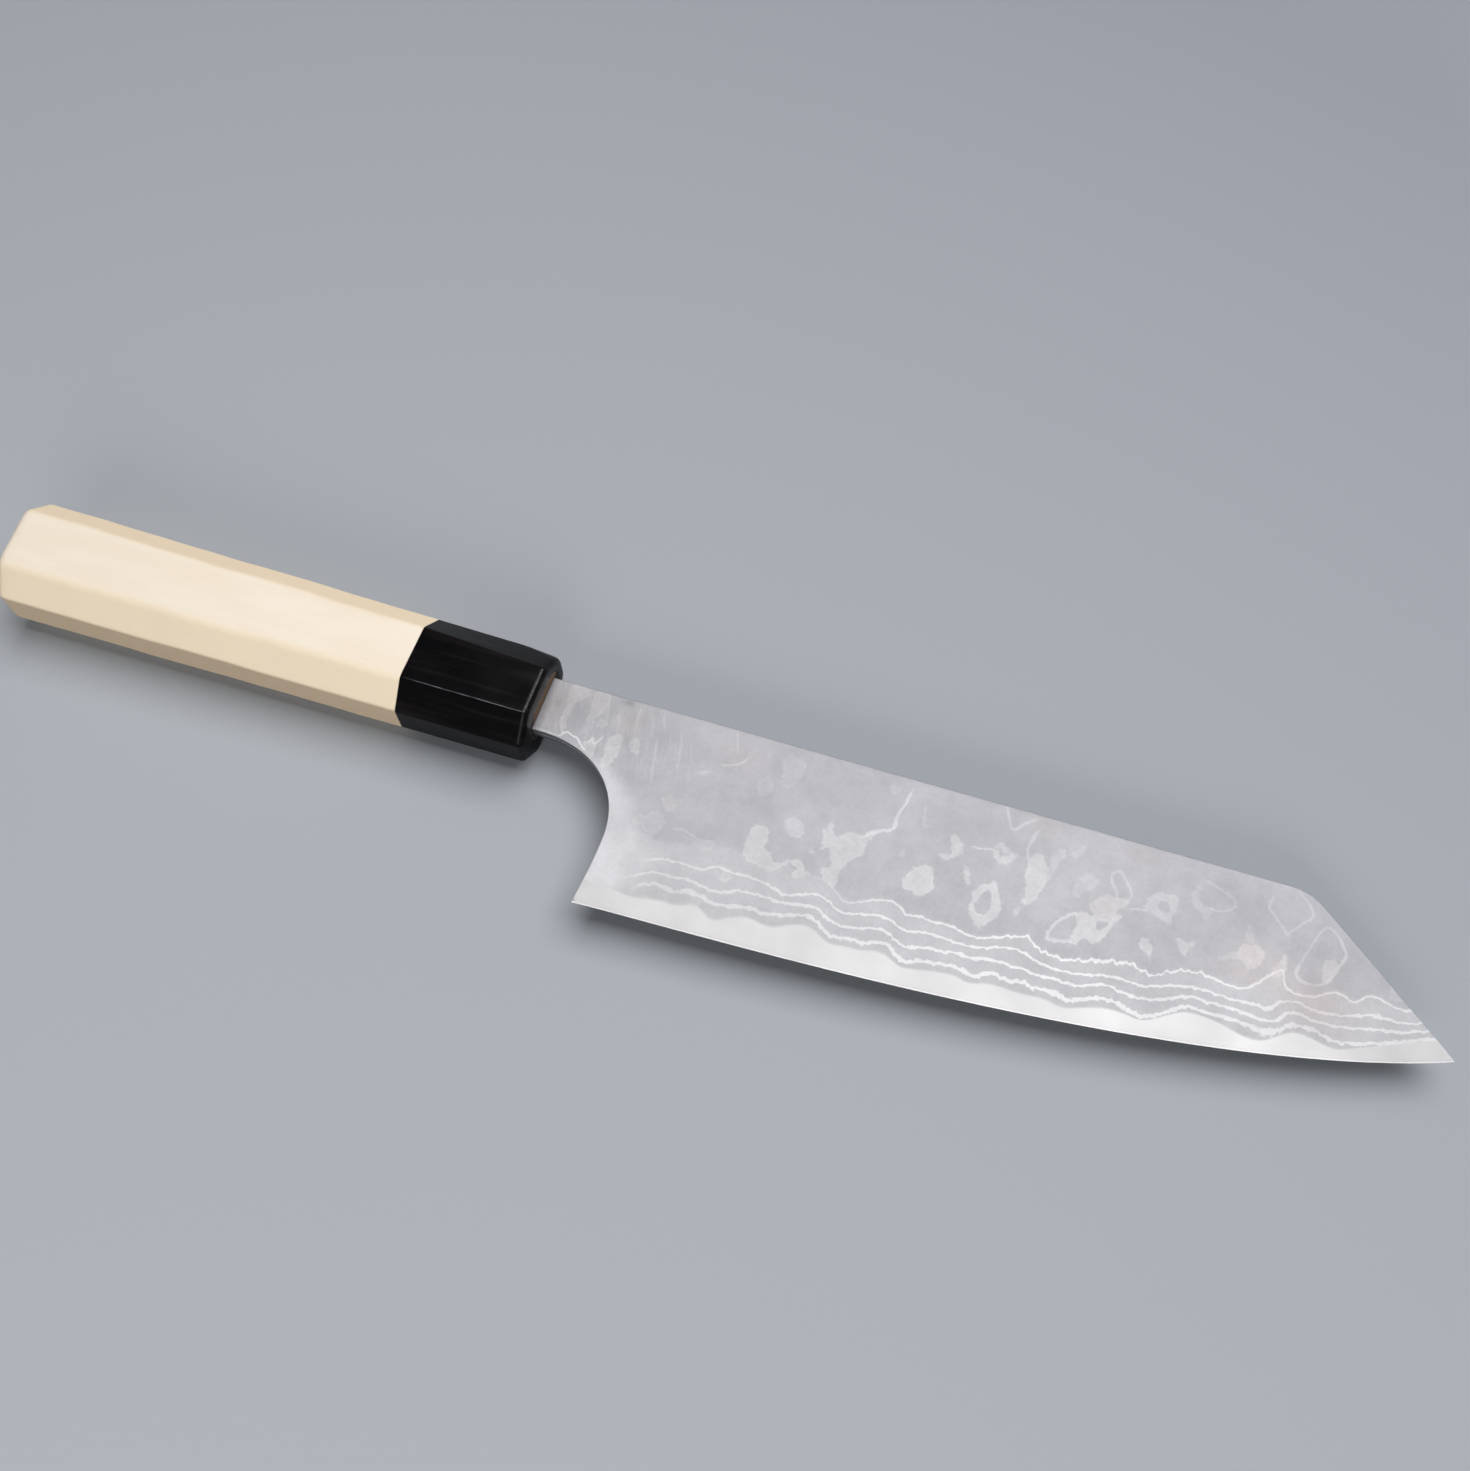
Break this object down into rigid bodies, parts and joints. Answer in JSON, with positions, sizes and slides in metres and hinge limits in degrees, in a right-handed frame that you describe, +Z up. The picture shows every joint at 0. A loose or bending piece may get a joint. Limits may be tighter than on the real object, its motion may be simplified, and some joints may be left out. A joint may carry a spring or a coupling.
{
  "type": "bunka kitchen knife",
  "caption": "Clip-pointed Japanese kitchen knife with a layered steel blade, a black horn ferrule and an octagonal pale wooden handle, lying on its side.",
  "frame": {"origin": "middle of the knife's length and width, on the plane that its handle lies on", "axes": "+X along the knife to the tip, +Y from the edge to the spine, +Z up through the blade's thickness"},
  "size_m": [0.3182, 0.0518, 0.0196],
  "materials": {
    "core_steel": "fine satin, polished towards the edge",
    "damascus_steel": "etched layers, grey with bright lines",
    "horn": "polished black buffalo horn",
    "burnt_wood": "browned end grain",
    "pale_wood": "smooth sanded, unvarnished"
  },
  "bodies": {
    "root": {"core_steel": "core_steel", "cladding_right": "damascus_steel", "cladding_left": "damascus_steel", "ferrule": "horn", "tenon": "burnt_wood", "handle_body": "pale_wood"}
  },
  "joints": []
}
